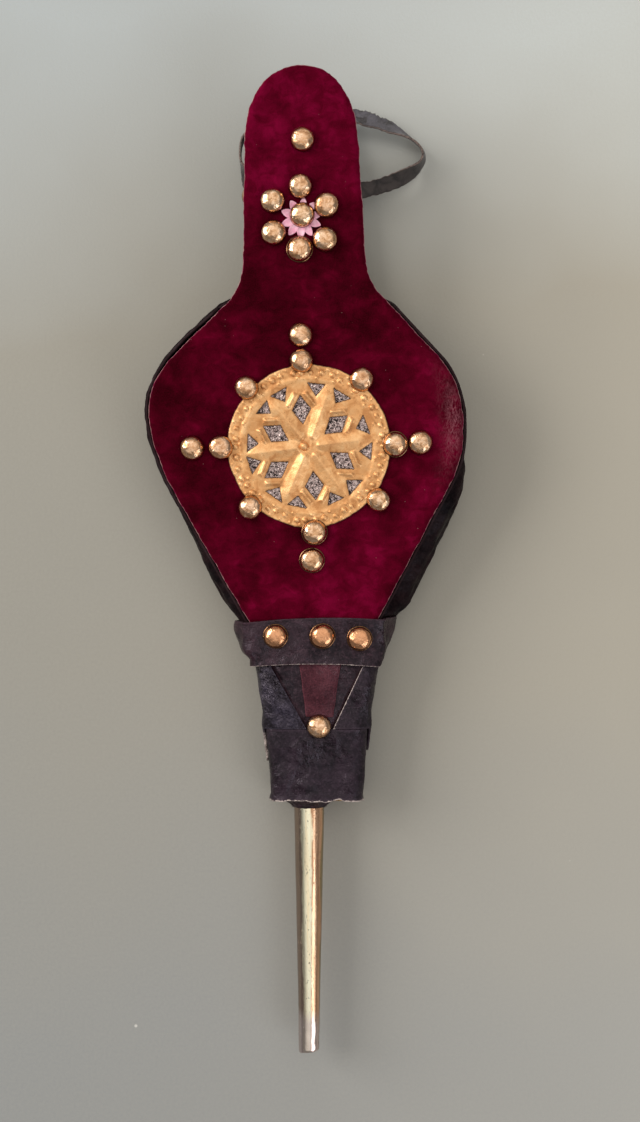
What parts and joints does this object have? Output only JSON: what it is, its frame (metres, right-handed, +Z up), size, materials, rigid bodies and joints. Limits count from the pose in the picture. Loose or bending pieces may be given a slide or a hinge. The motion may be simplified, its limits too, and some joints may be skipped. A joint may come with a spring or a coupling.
{
  "type": "hand bellows",
  "caption": "Hearth bellows: two pear-shaped wooden boards with handles, leather gusset and hinge, velvet-faced front with brass medallion and dome nails, tapered brass nozzle.",
  "frame": {"origin": "underside of the back board, below the medallion, within 3 mm of its middle", "axes": "+X to the right as seen from the velvet side with the handles away from the viewer, +Y towards the end of the handles, +Z up from the back board to the velvet"},
  "size_m": [0.1486, 0.4513, 0.0578],
  "materials": {
    "dark_wood": "dark stained, worn, satin",
    "pale_wood": "bare, matte",
    "velvet": "crimson cotton velvet with worn patches",
    "dark_leather": "grained, semi-gloss, dark purple-brown",
    "wine_leather": "pebbled, semi-gloss",
    "strap_leather": "worn, matte, fibrous edges",
    "valve_leather": "undyed, matte",
    "nail_brass": "polished, tarnished in spots",
    "gold_brass": "stamped, satin gold",
    "tube_brass": "polished, scratched, copper-toned",
    "foil": "crinkled silvery foil with dark specks",
    "pink_cloth": "pale pink satin, pinked petals"
  },
  "bodies": {
    "back": {"back_board": "dark_wood", "valve_batten": "pale_wood", "valve_tack_1": "nail_brass", "valve_tack_2": "nail_brass", "nose_block": "pale_wood", "nozzle_tube": "tube_brass", "nozzle_seal": "dark_leather", "nose_flap_left": "dark_leather", "nose_flap_right": "dark_leather", "nose_tongue": "dark_leather", "accent_strip": "wine_leather", "nose_band": "dark_leather", "nose_nail": "nail_brass", "gusset": "dark_leather", "hinge_leather": "dark_leather", "strap": "strap_leather", "strap_nail": "nail_brass"},
    "front": {"front_board": "dark_wood", "velvet_cover": "velvet", "medallion_foil": "foil", "medallion": "gold_brass", "flower": "pink_cloth", "handle_nail": "nail_brass", "rosette_nail_1": "nail_brass", "rosette_nail_2": "nail_brass", "rosette_nail_3": "nail_brass", "rosette_nail_4": "nail_brass", "rosette_nail_5": "nail_brass", "rosette_nail_6": "nail_brass", "rosette_nail_7": "nail_brass", "rim_nail_1": "nail_brass", "rim_nail_2": "nail_brass", "rim_nail_3": "nail_brass", "rim_nail_4": "nail_brass", "rim_nail_5": "nail_brass", "rim_nail_6": "nail_brass", "rim_nail_7": "nail_brass", "rim_nail_8": "nail_brass", "outer_nail_1": "nail_brass", "outer_nail_2": "nail_brass", "outer_nail_3": "nail_brass", "outer_nail_4": "nail_brass", "hinge_nail_1": "nail_brass", "hinge_nail_2": "nail_brass", "hinge_nail_3": "nail_brass"},
    "valve": {"valve_flap": "valve_leather"}
  },
  "joints": [
    {"name": "board_hinge", "type": "hinge", "parent": "back", "child": "front", "pos_m": [-0.0005, -0.093, 0.028], "axis": [0.9997, 0.0244, 0], "range_deg": [-5.5, 8], "deforming": ["gusset", "hinge_leather"]},
    {"name": "valve_hinge", "type": "hinge", "parent": "back", "child": "valve", "pos_m": [-0.00264, -0.01633, 0.00815], "axis": [-0.9996, -0.0279, 0], "range_deg": [0, 14]}
  ]
}
